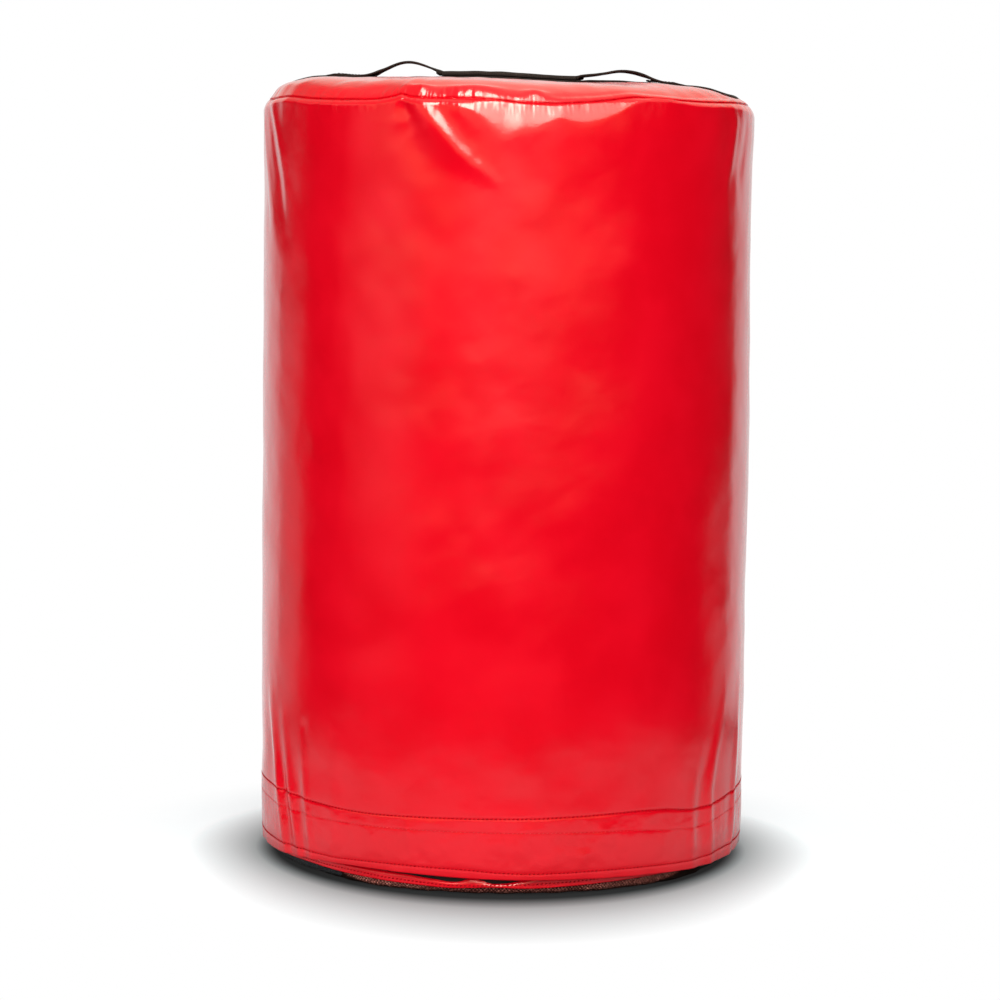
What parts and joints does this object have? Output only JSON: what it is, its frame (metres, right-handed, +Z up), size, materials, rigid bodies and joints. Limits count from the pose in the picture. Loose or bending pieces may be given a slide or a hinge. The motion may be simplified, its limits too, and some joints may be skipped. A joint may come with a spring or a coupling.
{
  "type": "tackling bag",
  "caption": "Round free-standing tackling bag: coated cover with a crowned lid, foam fill, a slack webbing carry handle on top and a hook-and-loop base.",
  "frame": {"origin": "on the floor, at the centre of the base panel's underside", "axes": "+Z up along the bag's axis, +X along the handle's webbing, +Y towards the wall's lap seam, so the plain face looks to -Y"},
  "size_m": [0.463, 0.4638, 0.7552],
  "materials": {
    "red_sheet": "gloss",
    "black_webbing": "matte",
    "black_tape": "matte",
    "brown_weave": "matte",
    "white_foam": "matte",
    "chip_foam": "matte",
    "dark_foam": "matte"
  },
  "bodies": {
    "base": {"base_panel": "brown_weave", "base_upstand": "red_sheet", "hook_tape": "black_tape"},
    "foam": {"foam_core": "chip_foam", "foam_wrap": "white_foam", "foam_top_disc": "white_foam", "foam_base_disc": "dark_foam"},
    "cover": {"wall_panel": "red_sheet", "top_panel": "red_sheet", "loop_tape": "black_tape", "lid_strap": "black_webbing", "handle_foot_left": "black_webbing", "handle_foot_right": "black_webbing"},
    "handle": {"handle_grip": "black_webbing"},
    "leg_left": {"handle_leg_left": "black_webbing"},
    "leg_right": {"handle_leg_right": "black_webbing"}
  },
  "joints": [
    {"name": "foam_off_base", "type": "slide", "parent": "base", "child": "foam", "axis": [0, 0, 1], "range_m": [0, 0.08]},
    {"name": "cover_off_foam", "type": "slide", "parent": "foam", "child": "cover", "axis": [0, 0, 1], "range_m": [0, 0.75]},
    {"name": "handle_lift", "type": "slide", "parent": "cover", "child": "handle", "axis": [0, 0, 1], "range_m": [0, 0.022]},
    {"name": "leg_left_swing", "type": "hinge", "parent": "cover", "child": "leg_left", "pos_m": [-0.128, 0, 0.74249], "axis": [0, -1, 0], "range_deg": [0, 20]},
    {"name": "leg_right_swing", "type": "hinge", "parent": "cover", "child": "leg_right", "pos_m": [0.128, 0, 0.74249], "axis": [0, 1, 0], "range_deg": [0, 20]}
  ],
  "couplings": [
    {"joint": "leg_left_swing", "follows": "handle_lift", "rad_per_m": 15.75},
    {"joint": "leg_right_swing", "follows": "handle_lift", "rad_per_m": 15.75}
  ]
}
